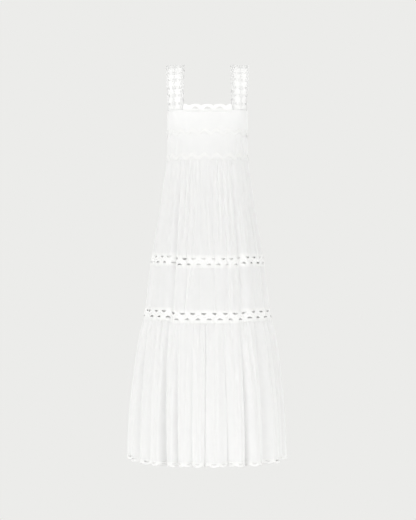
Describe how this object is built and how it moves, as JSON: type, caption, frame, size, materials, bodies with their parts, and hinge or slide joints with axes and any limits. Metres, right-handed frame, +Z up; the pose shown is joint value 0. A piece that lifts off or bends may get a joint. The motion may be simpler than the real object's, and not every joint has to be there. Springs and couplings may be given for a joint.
{
  "type": "camisole dress",
  "caption": "Long white cotton camisole dress, filled out as if worn, with wide scalloped straps, gathered tiers, wavy openwork bands and a scalloped hem.",
  "frame": {"origin": "midway between the two straps, at the height of their undersides at the top of the shoulders", "axes": "+Z up along the wearer's body, -Y the way the wearer faces, +X to the wearer's left"},
  "size_m": [0.5341, 0.4631, 1.3129],
  "materials": {
    "cotton_poplin": "matte plain weave",
    "cotton_lace": "matte embroidered edging"
  },
  "bodies": {
    "root": {"strap_left": "cotton_lace", "strap_right": "cotton_lace", "neck_trim_front": "cotton_lace", "neck_trim_back": "cotton_lace", "bodice_upper_front": "cotton_poplin", "bodice_upper_back": "cotton_poplin", "bust_ribbon_front": "cotton_lace", "bust_ribbon_back": "cotton_lace", "bodice_lower_front": "cotton_poplin", "bodice_lower_back": "cotton_poplin", "waist_ribbon_front": "cotton_lace", "waist_ribbon_back": "cotton_lace", "skirt_tier_1_front": "cotton_poplin", "skirt_tier_1_back": "cotton_poplin", "lace_1_front": "cotton_lace", "lace_1_back": "cotton_lace", "skirt_tier_2_front": "cotton_poplin", "skirt_tier_2_back": "cotton_poplin", "lace_2_front": "cotton_lace", "lace_2_back": "cotton_lace", "skirt_tier_3_front": "cotton_poplin", "skirt_tier_3_back": "cotton_poplin", "hem_trim_front": "cotton_lace", "hem_trim_back": "cotton_lace"}
  },
  "joints": []
}
